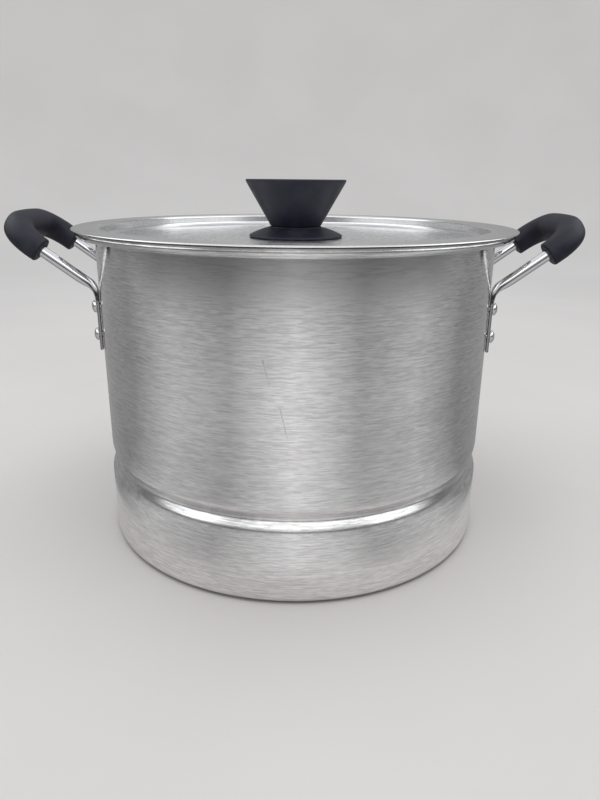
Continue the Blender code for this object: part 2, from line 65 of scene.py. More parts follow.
LID_SHEET = 0.0012
LID_RADIUS = 0.1657
LID_TOP = LIP_HEIGHT + GAP + LID_SHEET
LID_PLAY = 0.0012
LID_WALL = INNER_RADIUS - LID_PLAY - LID_SHEET
LID_RECESS = 0.0090
PANEL_TOP = LID_TOP - LID_RECESS
PANEL_UNDERSIDE = PANEL_TOP - LID_SHEET
LID_RIM_FILLET = 0.0018
LID_PANEL_FILLET = 0.0032
LID_EDGE_REACH, LID_EDGE_DROP = 0.0022, 0.0009  # the rounding at the lid's edge, across and down
SCREW_RADIUS = 0.0020
SCREW_HOLE = 0.0023

SKIRT_RADIUS = 0.0360
SKIRT_WALL = 0.0022
SKIRT_RIM = 0.0014
SKIRT_EDGE = 0.0004
SKIRT_CHAMFER = 0.0006
SKIRT_BULGE = 0.0006
SKIRT_HUB_RADIUS = 0.0100
SKIRT_BOTTOM = PANEL_TOP + GAP
SKIRT_TOP = SKIRT_BOTTOM + 0.0078
KNOB_BOTTOM = SKIRT_TOP + GAP
KNOB_TOP = KNOB_BOTTOM + 0.0340
KNOB_TOP_RADIUS = 0.0382
KNOB_NECK_RADIUS = 0.0194
KNOB_DISH = 0.0012
KNOB_POCKET_RADIUS = 0.0048
KNOB_POCKET_DEPTH = 0.0146

INSERT_RADIUS = 0.0045
INSERT_LENGTH = 0.0140
WASHER_RADIUS = 0.0070
WASHER_THICKNESS = 0.0010
SCREW_HEAD_RADIUS = 0.0045
SCREW_HEAD_HEIGHT = 0.0025
SCREW_END = KNOB_BOTTOM + 0.0120
SCREW_PITCH = 0.0007
SCREW_ROOT_RADIUS = 0.0017
SCREW_SLOT = (0.0108, 0.0011, 0.0024)

TUBE_RADIUS = 0.0040
HANDLE_SPREAD = 0.076
FOOT_WIDTH = 0.0120
FOOT_THICKNESS = 0.0025
LEG_CORNER = LIP_HEIGHT - 0.0409
FOOT_BOTTOM = LEG_CORNER - 0.0474
LEG_LENGTH = 0.0467
LEG_SLOPE = math.radians(36)
LEG_BEND = 0.009
BOW_BEND = 0.022
FLATTENING = 0.016
GRIP_ON_LEG = 0.004
GRIP_WIDTH, GRIP_WIDTH_SWELL = 0.0186, 0.0014
GRIP_THICKNESS, GRIP_THICKNESS_SWELL = 0.0178, 0.0026
GRIP_EDGE = 0.0013
GRIP_BORE = 0.0086
GRIP_SHIFT = 0.0010
FOOT_RADIUS = POT_RADIUS + GAP + FOOT_THICKNESS / 2
FOOT_ANGLE = math.asin(HANDLE_SPREAD / 2 / FOOT_RADIUS)

RIVET_RADIUS = 0.0025
RIVET_HEAD_RADIUS = 0.0048
RIVET_HEIGHTS = (("lower", FOOT_BOTTOM + 0.0115), ("upper", FOOT_BOTTOM + 0.0325))

RACK_TOP = 0.0748
RACK_RADIUS = INNER_RADIUS - 0.0022
RACK_SHEET = 0.0015
RACK_RIM_HEIGHT = 0.0070
RACK_RIM_FILLET = 0.0020
RACK_FINGER_HOLE_RADIUS = 0.0110
RACK_HOLE_RADIUS = 0.0045
RACK_FIRST_RING = 0.0055
RACK_HOLE_PITCH = 0.0290
RACK_RINGS = 4
RACK_HOLES_PER_RING = 5

COVE_RADIUS = 1.7
COVE_BEND = 0.9
COVE_HEIGHT = 4.0

WALL_SEGMENTS = 288
RACK_SEGMENTS = 192
SMALL_SEGMENTS = 96
STUDIO_SEGMENTS = 96
CARD_SEGMENTS = 144
SHARP_ANGLE = 32
NEAR_AXIS = 1e-7
SIDES = (("left", math.pi), ("right", 0.0))


# ---- Mesh helpers ----


def arc(centre, radius, start, end, steps):
    angles = [math.radians(start + (end - start) * i / steps) for i in range(steps + 1)]
    return [(centre[0] + radius * math.cos(a), centre[1] + radius * math.sin(a)) for a in angles]


def fillet(before, corner, after, radius, steps=8):
    corner = Vector(corner)
    into = (Vector(before) - corner).normalized()
    out = (Vector(after) - corner).normalized()
    half = into.angle(out) / 2
    centre = corner + (into + out).normalized() * radius / math.sin(half)
    first = corner + into * radius / math.tan(half) - centre
    sweep = math.pi - 2 * half
    if into.cross(out) > 0:
        sweep = -sweep
    start = math.atan2(first.y, first.x)
    return arc(centre, radius, math.degrees(start), math.degrees(start + sweep), steps)


def offset(outline, distance):
    """The outline moved to its left, with mitred corners. Points on the axis stay on it."""
    moved = []
    for i, point in enumerate(outline):
        here = Vector(point)
        before = (here - Vector(outline[i - 1])).normalized() if i else None
        after = (Vector(outline[i + 1]) - here).normalized() if i < len(outline) - 1 else None
        before = before or after
        after = after or before
        left = (Vector((-before.y, before.x)) + Vector((-after.y, after.x))).normalized()
        moved.append(tuple(here + left * distance / left.dot(Vector((-before.y, before.x)))))
    return moved


def held(outline, margin=0.0007, closed=True):
    """Adds points near both ends of each long straight stretch, so that it shades flat between them."""
    made = []
    count = len(outline)
    for i, point in enumerate(outline):
        made.append(tuple(point))
        if i == count - 1 and not closed:
            break
        one, two = Vector(point), Vector(outline[(i + 1) % count])
        length = (two - one).length
        if length > 5 * margin:
            step = (two - one) * margin / length
            made += [tuple(one + step), tuple(two - step)]
    return made


def finish_mesh(name, bm, sharp=SHARP_ANGLE):
    bmesh.ops.recalc_face_normals(bm, faces=bm.faces)
    mesh = bpy.data.meshes.new(name)
    bm.to_mesh(mesh)
    bm.free()
    mesh.shade_smooth()
    mesh.set_sharp_from_angle(angle=math.radians(sharp))
    return mesh


def add_turned(bm, outline, segments, place=None):
    """A solid turned about Z. An outline that starts on the axis ends on it; any other closes itself."""
    rings = []
    for r, z in outline:
        if r < NEAR_AXIS:
            rings.append([bm.verts.new((0, 0, z))])
            continue
        turn = [2 * math.pi * i / segments for i in range(segments)]
        rings.append([bm.verts.new((r * math.cos(a), r * math.sin(a), z)) for a in turn])
    pairs = list(zip(rings, rings[1:]))
    if outline[0][0] > NEAR_AXIS:
        pairs.append((rings[-1], rings[0]))
    for one, two in pairs:
        for i in range(segments):
            j = (i + 1) % segments
            loop = [one[i % len(one)], one[j % len(one)], two[j % len(two)], two[i % len(two)]]
            unique = list(dict.fromkeys(loop))
            if len(unique) > 2:
                bm.faces.new(unique)
    if place is not None:
        bmesh.ops.transform(bm, matrix=place, verts=[v for ring in rings for v in ring])


def turned(name, outline, segments, margin=0.0007):
    on_axis = outline[0][0] < NEAR_AXIS
    bm = bmesh.new()
    add_turned(bm, held(outline, margin, not on_axis), segments)
    return finish_mesh(name, bm)


def swept(name, rings, bore=None):
    """A skin over rings of points. With bore, a second set of rings hollows it from end to end."""
    bm = bmesh.new()

    def skin(loops):
        made = [[bm.verts.new(p) for p in loop] for loop in loops]
        for one, two in zip(made, made[1:]):
            for i in range(len(one)):
                j = (i + 1) % len(one)
                bm.faces.new((one[i], one[j], two[j], two[i]))
        return made

    outer = skin(rings)
    if bore is None:
        bm.faces.new(outer[0])
        bm.faces.new(outer[-1])
    else:
        inner = skin(bore)
        for end in (0, -1):
            for i in range(len(outer[end])):
                j = (i + 1) % len(outer[end])
                bm.faces.new((outer[end][i], outer[end][j], inner[end][j], inner[end][i]))
    return finish_mesh(name, bm)


def piece(name, mesh, material, body, node):
    made = bpy.data.objects.new(name, mesh)
    bpy.context.scene.collection.objects.link(made)
    mesh.materials.clear()
    mesh.materials.append(material)
    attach(made, body)
    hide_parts(node)
    return made


# ---- Materials ----


class Nodes:
    """A few short calls for building one material's nodes."""

    def __init__(self, name):
        self.material = bpy.data.materials.new(name)
        self.material.use_nodes = True
        self.tree = self.material.node_tree
        self.shader = self.tree.nodes["Principled BSDF"]

    def node(self, kind, **values):
        made = self.tree.nodes.new("ShaderNode" + kind)
        for key, value in values.items():
            setattr(made, key, value)
        return made

    def join(self, source, target):
        self.tree.links.new(source, target)

    def set(self, **values):
        for key, value in values.items():
            self.shader.inputs[key.replace("_", " ")].default_value = value

    def maths(self, operation, one, two=None, three=None):
        made = self.node("Math", operation=operation)
        for i, value in enumerate((one, two, three)):
            if value is None:
                continue
            if isinstance(value, (int, float)):
                made.inputs[i].default_value = value
            else:
                self.join(value, made.inputs[i])
        return made.outputs[0]

    def position(self):
        return self.node("TexCoord").outputs["Object"]

    def split(self):
        """The position's x, y and z."""
        made = self.node("SeparateXYZ")
        self.join(self.position(), made.inputs[0])
        return made.outputs

    def angle(self, x, y):
        """Radians round Z from the front, -Y, growing towards +X."""
        return self.maths("ARCTAN2", x, self.maths("MULTIPLY", y, -1.0))

    def radius(self, x, y):
        return self.maths("SQRT", self.maths("MULTIPLY_ADD", x, x, self.maths("MULTIPLY", y, y)))

    def scaled(self, vector, scale, turn=(0, 0, 0)):
        made = self.node("Mapping")
        made.inputs["Scale"].default_value = scale
        made.inputs["Rotation"].default_value = turn
        self.join(vector, made.inputs["Vector"])
        return made.outputs[0]

    def combine(self, x, y, z):
        made = self.node("CombineXYZ")
        for i, value in enumerate((x, y, z)):
            if isinstance(value, (int, float)):
                made.inputs[i].default_value = value
            else:
                self.join(value, made.inputs[i])
        return made.outputs[0]

    def noise(self, vector, scale=1.0, detail=3.0, roughness=0.5, distortion=0.0):
        made = self.node("TexNoise")
        made.inputs["Scale"].default_value = scale
        made.inputs["Detail"].default_value = detail
        made.inputs["Roughness"].default_value = roughness
        made.inputs["Distortion"].default_value = distortion
        self.join(vector, made.inputs["Vector"])
        return made.outputs["Fac"]

    def random(self, one, two=0.0):
        made = self.node("TexWhiteNoise", noise_dimensions="2D")
        self.join(self.combine(one, two, 0.0), made.inputs["Vector"])
        return made.outputs["Value"]

    def ramp(self, value, low, high, out_low=0.0, out_high=1.0):
        made = self.node("MapRange", interpolation_type="SMOOTHSTEP")
        limits = {"From Min": low, "From Max": high, "To Min": out_low, "To Max": out_high}
        for key, number in limits.items():
            made.inputs[key].default_value = number
        self.join(value, made.inputs["Value"])
        return made.outputs["Result"]

    def mix(self, factor, one, two):
        made = self.node("Mix", data_type="RGBA")
        target = {"Factor": made.inputs[0], "A": made.inputs[6], "B": made.inputs[7]}
        for key, value in (("Factor", factor), ("A", one), ("B", two)):
            if isinstance(value, tuple):
                target[key].default_value = (*value, 1)
            elif isinstance(value, (int, float)):
                target[key].default_value = value
            else:
                self.join(value, target[key])
        return made.outputs[2]

    def bump(self, height, strength, distance):
        made = self.node("Bump")
        made.inputs["Strength"].default_value = strength
        made.inputs["Distance"].default_value = distance
        self.join(height, made.inputs["Height"])
        self.join(made.outputs[0], self.shader.inputs["Normal"])

    def round_tangent(self):
        """Lays the brushing round Z."""
        made = self.node("Tangent", direction_type="RADIAL", axis="Z")
        self.join(made.outputs[0], self.shader.inputs["Tangent"])

    def colour(self, socket):
        self.join(socket, self.shader.inputs["Base Color"])

    def rough(self, socket):
        self.join(socket, self.shader.inputs["Roughness"])


def radial_position(m, ring_scale, radius_scale):
    """Coordinates that run round and outwards, for brushing on a turned disc."""
    x, y, _ = m.split()
    radius = m.maths("MAXIMUM", m.radius(x, y), 0.001)
    return m.combine(
        m.maths("MULTIPLY", m.maths("DIVIDE", x, radius), ring_scale),
        m.maths("MULTIPLY", m.maths("DIVIDE", y, radius), ring_scale),
        m.maths("MULTIPLY", radius, radius_scale),
    )


ROW_SLOPE = 2.3  # how strongly a change of radius counts as height, so that sloping parts have rows too
ROW_SHIFT = 50.0  # streaks by which one row may be moved along from the next


def streaks(m, rows, length):
    """Rows round the part, rows to the metre, each cut into streaks of random tone and one length."""
    x, y, z = m.split()
    across = m.maths("MULTIPLY_ADD", m.radius(x, y), ROW_SLOPE, z)
    row = m.maths("FLOOR", m.maths("MULTIPLY", across, rows))
    start = m.maths("MULTIPLY", m.random(row), ROW_SHIFT)
    along = m.maths("MULTIPLY_ADD", m.angle(x, y), POT_RADIUS / length, start)
    cell = m.maths("FLOOR", along)
    here = m.random(cell, row)
    following = m.random(m.maths("ADD", cell, 1.0), row)
    turn = m.ramp(m.maths("FRACT", along), 0.55, 1.0)
    return m.maths("MULTIPLY_ADD", turn, m.maths("SUBTRACT", following, here), here)


def tilted(m, tilt):
    """Leans the surface up or down by tilt, as each brush line does."""
    geometry = m.node("NewGeometry")
    add = m.node("VectorMath", operation="ADD")
    m.join(geometry.outputs["Normal"], add.inputs[0])
    m.join(m.combine(0, 0, tilt), add.inputs[1])
    unit = m.node("VectorMath", operation="NORMALIZE")
    m.join(add.outputs[0], unit.inputs[0])
    m.join(unit.outputs[0], m.shader.inputs["Normal"])


def scratch(m, start, end, width):
    """1 on a thin line between two points of the wall, given as degrees from the front and height."""
    x, y, z = m.split()
    low, high = min(start[1], end[1]), max(start[1], end[1])
    slope = (end[0] - start[0]) / (end[1] - start[1])
    centre = math.radians(start[0] - slope * start[1])
    wanted = m.maths("MULTIPLY_ADD", z, math.radians(slope), centre)
    off = m.maths("SUBTRACT", m.angle(x, y), wanted)
    away = m.maths("MULTIPLY", m.maths("ABSOLUTE", off), POT_RADIUS)
    line = m.ramp(away, width * 0.4, width, 1.0, 0.0)
    fade = 0.004
    ends = m.maths("MULTIPLY", m.ramp(z, low, low + fade), m.ramp(z, high - fade, high, 1.0, 0.0))
    return m.maths("MULTIPLY", line, ends)


def painted_shade_band(m, low, high, radius):
    """1 between two heights and past a radius: a band that gets painted shade."""
    x, y, z = m.split()
    band = m.maths("MULTIPLY", m.maths("GREATER_THAN", z, low), m.maths("LESS_THAN", z, high))
    return m.maths("MULTIPLY", band, m.maths("GREATER_THAN", m.radius(x, y), radius))


def brushed(name, dark, light, rough_low, rough_high, lean, anisotropy):
    """Aluminium with brush lines that run round the part, two faint scratches, and painted shade at the
    base's bottom corner.
    """
    m = Nodes(name)
    m.set(Metallic=1.0, Anisotropic=anisotropy, Anisotropic_Rotation=0.25)
    fine = streaks(m, rows=1800, length=0.005)
    coarse = streaks(m, rows=1250, length=0.013)
    cloud = m.noise(m.scaled(m.position(), (9, 9, 14)), 1.0, 2.0, 0.5)
    lines = m.maths("MULTIPLY_ADD", fine, 0.55, m.maths("MULTIPLY", coarse, 0.45))
    tone = m.maths("MULTIPLY_ADD", m.ramp(cloud, 0.35, 0.7), 0.2, m.maths("MULTIPLY", lines, 0.8))
    upper = scratch(m, (-7.7, 0.1740), (-5.7, 0.1530), 0.0008)
    lower = scratch(m, (-3.7, 0.1440), (-1.5, 0.1180), 0.0007)
    marks = m.maths("MULTIPLY", m.maths("MAXIMUM", upper, lower), m.ramp(fine, 0.35, 0.60))
    scratched = (0.38, 0.37, 0.38)
    metal = m.mix(m.maths("MULTIPLY", marks, 0.5), m.mix(tone, dark, light), scratched)
    # Painted shade: the base's bottom corner is painted near black, standing for the contact shadow it
    # reflects.
    foot = painted_shade_band(m, -0.001, 0.0022, BAND_RADIUS - BASE_CORNER)
    m.colour(m.mix(foot, metal, (0.12, 0.11, 0.10)))
    m.rough(m.ramp(lines, 0.2, 0.8, rough_high, rough_low))
    tilted(m, m.maths("MULTIPLY", m.maths("SUBTRACT", lines, 0.5), lean))
    m.round_tangent()
    return m.material


def spun(name, dark, light, rough_low, rough_high, grain, anisotropy):
    """Aluminium with spinning marks in rings on a flat disc, and painted shade along the lower part of
    the lid's edge.
    """
    m = Nodes(name)
    m.set(Metallic=1.0, Anisotropic=anisotropy, Anisotropic_Rotation=0.25)
    fine = m.noise(radial_position(m, 5.0, 1300), 1.0, 3.0, 0.6)
    coarse = m.noise(radial_position(m, 2.0, 260), 1.0, 2.0, 0.5)
    cloud = m.noise(m.scaled(m.position(), (14, 14, 14)), 1.0, 3.0, 0.55)
    lines = m.maths("ADD", m.maths("MULTIPLY", fine, 0.55), m.maths("MULTIPLY", coarse, 0.45))
    rings = m.maths("MULTIPLY", m.ramp(lines, 0.36, 0.64), 0.6)
    tone = m.maths("MULTIPLY_ADD", m.ramp(cloud, 0.3, 0.7), 0.4, rings)
    # Painted shade: the lower part of the lid's outer edge is painted dark, standing for the shadow line
    # between lid and lip.
    shaded_rim_low, shaded_rim_high = LID_TOP - LID_SHEET - 0.0002, LID_TOP - 0.8 * LID_SHEET
    edge = painted_shade_band(m, shaded_rim_low, shaded_rim_high, LID_RADIUS - 0.0008)
    m.colour(m.mix(edge, m.mix(tone, dark, light), (0.16, 0.155, 0.15)))
    m.rough(m.ramp(lines, 0.38, 0.62, rough_high, rough_low))
    m.bump(lines, grain, 0.00005)
    m.round_tangent()
    return m.material


def polished(name, dark, light, rough_low, rough_high, stretch, painted_shade_below=-1.0):
    """Chrome or steel with faint drawing marks and a few specks, and painted shade below a height."""
    m = Nodes(name)
    m.set(Metallic=1.0)
    marks = m.noise(m.scaled(m.position(), stretch), 1.0, 3.0, 0.6)
    specks = m.noise(m.scaled(m.position(), (700, 700, 700)), 1.0, 2.0, 0.5)
    metal = m.mix(m.ramp(specks, 0.62, 0.72), light, dark)
    # Painted shade: below the height the colour turns dark grey, standing for the dark reflections and
    # shade on the handles' flattened feet.
    painted_dark = m.ramp(m.split()[2], painted_shade_below - 0.004, painted_shade_below + 0.004, 1.0, 0.0)
    m.colour(m.mix(painted_dark, metal, (0.30, 0.29, 0.31)))
    m.rough(m.ramp(marks, 0.35, 0.7, rough_low, rough_high))
    m.bump(marks, 0.05, 0.00004)
    return m.material


def moulded(name):
    """Matt black phenolic plastic, slightly greyed in patches by handling."""
    m = Nodes(name)
    m.set(Specular_IOR_Level=0.27)
    grain = m.noise(m.scaled(m.position(), (900, 900, 900)), 1.0, 2.0, 0.6)
    smudge = m.noise(m.scaled(m.position(), (55, 55, 55)), 1.0, 4.0, 0.6)
    base = m.mix(m.ramp(smudge, 0.4, 0.75), (0.011, 0.011, 0.022), (0.024, 0.024, 0.036))
    m.colour(m.mix(m.ramp(grain, 0.62, 0.8, 0.0, 0.3), base, (0.05, 0.05, 0.06)))
    m.rough(m.ramp(smudge, 0.3, 0.75, 0.42, 0.60))
    m.bump(grain, 0.12, 0.0001)
    return m.material


# ---- Pot ----


def pot_outline():
    band_edge = (BAND_RADIUS, BAND_HEIGHT)
    neck = (NECK_RADIUS, NECK_HEIGHT)
    shoulder_centre = (POT_RADIUS - SHOULDER_RADIUS, SHOULDER_HEIGHT)
    shoulder = arc(shoulder_centre, SHOULDER_RADIUS, -math.degrees(SHOULDER_ANGLE), 0, 16)
    flare = LIP_HEIGHT - SHEET - LIP_BEND
    points = [(0, 0)]
    points += arc((BAND_RADIUS - BASE_CORNER, BASE_CORNER), BASE_CORNER, -90, 0, 10)
    points += fillet((BAND_RADIUS, 0), band_edge, neck, BAND_FILLET, 6)
    points += fillet(band_edge, neck, shoulder[1], GROOVE_FILLET, 6)
    points += shoulder[4:]
    points += arc((POT_RADIUS + LIP_BEND, flare), LIP_BEND, 180, 90, 12)
    roll_centre = (LIP_RADIUS - LIP_ROLL, LIP_HEIGHT - LIP_ROLL)
    points += arc(roll_centre, LIP_ROLL - SHEET, 90, -90, 18)
    inside = offset(points, SHEET)
    inside[0] = (0, SHEET)
    return points + inside[::-1]


def make_pot(material):
    mesh = turned("pot_shell_fine", pot_outline(), WALL_SEGMENTS)
    piece("pot_shell_fine", mesh, material, "pot", "pot_shell")


# ---- Lid ----


def make_lid(material):
    hole = (SCREW_HOLE, PANEL_TOP)
    foot = (LID_WALL, PANEL_TOP)
    head = (LID_WALL, LID_TOP)
    edge = (LID_RADIUS, LID_TOP)
    top = [hole, *fillet(hole, foot, head, LID_PANEL_FILLET, 8)]
    top += fillet(foot, head, edge, LID_RIM_FILLET, 6)
    reach, drop = LID_EDGE_REACH, LID_EDGE_DROP
    top.append((LID_RADIUS - reach, LID_TOP))
    under = offset(top, -LID_SHEET)
    middle = (LID_RADIUS - reach, LID_TOP - drop)
    turns = [math.radians(10 * i) for i in range(1, 10)]
    rounded = [(middle[0] + reach * math.sin(a), middle[1] + drop * math.cos(a)) for a in turns]
    bottom = LID_TOP - LID_SHEET
    rounded += [(LID_RADIUS - 0.0001, bottom + 0.0001), (LID_RADIUS - 0.0003, bottom)]
    mesh = turned("lid_shell_fine", top + rounded + under[::-1], WALL_SEGMENTS)
    piece("lid_shell_fine", mesh, material, "lid", "lid_shell")


def make_knob(material):
    """An inverted cone with a shallow dish on top and a pocket for the insert."""
    top, bottom, neck = KNOB_TOP, KNOB_BOTTOM, KNOB_NECK_RADIUS
    outline = [(0, top - KNOB_DISH), (0.0340, top - KNOB_DISH)]
    outline += [(0.0348, top - 0.0009), (0.0357, top - 0.0001), (0.0364, top)]
    edge = [(0.0008, 0.0), (0.0002, 0.0003), (0.0, 0.0009), (0.0003, 0.0019)]
    outline += [(KNOB_TOP_RADIUS - inward, top - down) for inward, down in edge]
    outline += [(neck + 0.0002, bottom + 0.0004), (neck - 0.0004, bottom)]
    pocket, depth = KNOB_POCKET_RADIUS, bottom + KNOB_POCKET_DEPTH
    outline += [(pocket, bottom), (pocket, depth), (0, depth)]
    mesh = turned("knob_fine", outline, SMALL_SEGMENTS, 0.0004)
    piece("knob_fine", mesh, material, "lid", "knob")


def make_skirt(material):
    """The heat guard under the knob: a flat seat, a slightly convex slope and a thin rim."""
    top, bottom, rim = SKIRT_TOP, SKIRT_BOTTOM, SKIRT_RADIUS
    seat, crown = KNOB_NECK_RADIUS + 0.0004, top - SKIRT_WALL
    inner = Vector((seat + SKIRT_CHAMFER, top - SKIRT_CHAMFER))
    outer = Vector((rim, bottom + SKIRT_RIM))
    slope = []
    for i in range(12):
        share = i / 12
        rise = Vector((0, 4 * SKIRT_BULGE * share * (1 - share)))
        slope.append(tuple(inner.lerp(outer, share) + rise))
    outline = [(SCREW_HOLE, top), (seat - 0.0004, top), (seat + 0.0003, top - 0.0002), *slope]
    outline += fillet(slope[-1], outer, (rim, bottom), 0.0009, 5)
    outline += [(rim, bottom + SKIRT_EDGE), (rim - SKIRT_EDGE, bottom), (rim - SKIRT_WALL, bottom)]
    outline += [(seat, crown), (SKIRT_HUB_RADIUS, crown), (SKIRT_HUB_RADIUS, bottom)]
    outline += [(SCREW_HOLE, bottom)]
    mesh = turned("knob_skirt_fine", outline, SMALL_SEGMENTS, 0.0004)
    piece("knob_skirt_fine", mesh, material, "lid", "knob_skirt")


def collar(radius, low, high):
    """The outline of a flat ring round the screw, with softened outer edges."""
    soft = 0.0002
    outline = [(SCREW_HOLE, high), (radius - soft, high), (radius, high - soft)]
    return outline + [(radius, low + soft), (radius - soft, low), (SCREW_HOLE, low)]


def make_fasteners(steel, brass):
    """The insert in the knob, and the washer and slotted screw under the lid."""
    low = KNOB_BOTTOM + GAP
    mesh = turned("knob_insert_fine", collar(INSERT_RADIUS, low, low + INSERT_LENGTH), 48, 0.0002)
    piece("knob_insert_fine", mesh, brass, "lid", "knob_insert")
    high = PANEL_UNDERSIDE - GAP
    mesh = turned("knob_washer_fine", collar(WASHER_RADIUS, high - WASHER_THICKNESS, high), 64, 0.0002)
    piece("knob_washer_fine", mesh, steel, "lid", "knob_washer")

    top = PANEL_UNDERSIDE - 2 * GAP - WASHER_THICKNESS
    bottom = top - SCREW_HEAD_HEIGHT
    shank, root, head = SCREW_RADIUS, SCREW_ROOT_RADIUS, SCREW_HEAD_RADIUS
    outline = [(0, SCREW_END), (0.0014, SCREW_END), (shank, SCREW_END - 0.0010)]
    level = SCREW_END - 0.0012
    while level > top + 2 * SCREW_PITCH:
        outline += [(shank, level), (root, level - SCREW_PITCH / 2), (shank, level - SCREW_PITCH)]
        level -= SCREW_PITCH
    outline += [(shank, top), (head, top), (head, top - 0.0010)]
    outline += arc((head - 0.0011, top - 0.0011), 0.0011, 0, -60, 4)
    outline += [(shank, bottom), (0, bottom)]
    outline = [p for i, p in enumerate(outline) if i == 0 or p != outline[i - 1]]
    mesh = turned("knob_screw_fine", outline, 48, 0.0002)
    screw = piece("knob_screw_fine", mesh, steel, "lid", "knob_screw")
    bm = bmesh.new()
    bmesh.ops.create_cube(bm, size=1)
    bmesh.ops.scale(bm, vec=SCREW_SLOT, verts=bm.verts)
    bmesh.ops.translate(bm, vec=(0, 0, bottom), verts=bm.verts)
    carve(screw, finish_mesh("screw_slot", bm))


def carve(target, mesh):
    """Cuts a closed mesh out of a piece for good."""
    tool = bpy.data.objects.new("tool", mesh)
    bpy.context.scene.collection.objects.link(tool)
    cut = target.modifiers.new("cut", "BOOLEAN")
    cut.operation, cut.object, cut.solver = "DIFFERENCE", tool, "EXACT"
    bpy.context.view_layer.update()
    made = bpy.data.meshes.new_from_object(target.evaluated_get(bpy.context.evaluated_depsgraph_get()))
    target.modifiers.clear()
    target.data = made
    bpy.data.objects.remove(tool)
    made.shade_smooth()
    made.set_sharp_from_angle(angle=math.radians(SHARP_ANGLE))


# ---- Handles ----


def smooth(t):
    t = max(0.0, min(1.0, t))
    return t * t * (3 - 2 * t)


def handle_path():
    """The tube's centreline on the +X side, from the front foot to the back one.

    Each step is a point, the direction there, the normal of the flat side, and how far the tube is
    flattened, from 0 to 1.
    """
    set_back = Vector(((TUBE_RADIUS - FOOT_THICKNESS / 2) / math.cos(FOOT_ANGLE), 0, 0))
    wall_line = Vector((FOOT_RADIUS * math.cos(FOOT_ANGLE), -HANDLE_SPREAD / 2, 0)) + set_back
    up = Vector((0, 0, 1))
    out = Vector((math.cos(LEG_SLOPE), 0, math.sin(LEG_SLOPE)))
    bow_normal = Vector((-math.sin(LEG_SLOPE), 0, math.cos(LEG_SLOPE)))
    inward = Vector((-math.cos(FOOT_ANGLE), math.sin(FOOT_ANGLE), 0))
    corner = wall_line + up * LEG_CORNER
    turn = math.pi / 2 - LEG_SLOPE
    tangent = LEG_BEND * math.tan(turn / 2)
    bend_low = LEG_CORNER - tangent
    whole = FLATTENING + LEG_BEND * turn

    def squash_at(length):
        return 1 - smooth(length / whole)

    half = []
    flat_end = bend_low - FLATTENING / 2
    for i in range(7):
        height = FOOT_BOTTOM + (flat_end - FOOT_BOTTOM) * i / 6
        half.append((wall_line + up * height, up, inward, 1.0))
    for i in range(1, 8):
        length = FLATTENING / 2 * i / 8
        half.append((wall_line + up * (flat_end + length), up, inward, squash_at(length)))
    bend_centre = corner + Vector((LEG_BEND, 0, -tangent))
    for i in range(13):
        angle = turn * i / 12
        spoke = Vector((-math.cos(angle), 0, math.sin(angle)))
        direction = Vector((math.sin(angle), 0, math.cos(angle)))
        squash = squash_at(FLATTENING / 2 + LEG_BEND * angle)
        flat = inward.lerp(bow_normal, i / 12)
        half.append((bend_centre + spoke * LEG_BEND, direction, flat, squash))
    for i in range(1, 9):
        length = FLATTENING / 2 * i / 8
        squash = squash_at(FLATTENING / 2 + LEG_BEND * turn + length)
        half.append((corner + out * (tangent + length), out, bow_normal, squash if i < 8 else 0.0))
    bow_start = corner + out * LEG_LENGTH
    for i in range(11):
        half.append((bow_start - out * GRIP_ON_LEG * (1 - i / 11), out, bow_normal, 0.0))
    bow_centre = bow_start + Vector((0, BOW_BEND, 0))
    for i in range(19):
        angle = math.pi / 2 * i / 18
        spoke = out * math.sin(angle) - Vector((0, math.cos(angle), 0))
        direction = out * math.cos(angle) + Vector((0, math.sin(angle), 0))
        half.append((bow_centre + spoke * BOW_BEND, direction, bow_normal, 0.0))
    tip = half[-1][0]
    for i in range(1, 6):
        half.append((Vector((tip.x, tip.y * (1 - i / 6), tip.z)), Vector((0, 1, 0)), bow_normal, 0.0))
    half = [(p - set_back * s, d, n, s) for p, d, n, s in half]
    mirror = Vector((1, -1, 1))
    back = [(p * mirror, -d * mirror, n * mirror, s) for p, d, n, s in reversed(half)]
    return half + back


def superellipse(steps, width, thickness, exponent):
    made = []
    for i in range(steps):
        angle = 2 * math.pi * (i + 0.5) / steps
        c, s = math.cos(angle), math.sin(angle)
        across = math.copysign(abs(c) ** (2 / exponent), c) * width / 2
        through = math.copysign(abs(s) ** (2 / exponent), s) * thickness / 2
        made.append((across, through))
    return made


def section(point, direction, flat, pairs):
    flat = (flat - direction * flat.dot(direction)).normalized()
    side = flat.cross(direction)
    return [point + side * across + flat * through for across, through in pairs]


def tube_rings():
    rings = []
    path = handle_path()
    last = len(path) - 1
    for i, (point, direction, flat, squash) in enumerate(path):
        width = 2 * TUBE_RADIUS + (FOOT_WIDTH - 2 * TUBE_RADIUS) * squash
        thickness = 2 * TUBE_RADIUS + (FOOT_THICKNESS - 2 * TUBE_RADIUS) * squash
        pairs = superellipse(40, width, thickness, 2 + 3 * squash)
        if i in (0, last):
            end = -1 if i == 0 else 1
            small = superellipse(40, width - 0.0016, thickness - 0.0012, 2 + 3 * squash)
            rounded = section(point, direction, flat, small)
            near = section(point - direction * end * 0.0006, direction, flat, pairs)
            rings += [rounded, near] if i == 0 else [near, rounded]
            continue
        rings.append(section(point, direction, flat, pairs))
    return rings


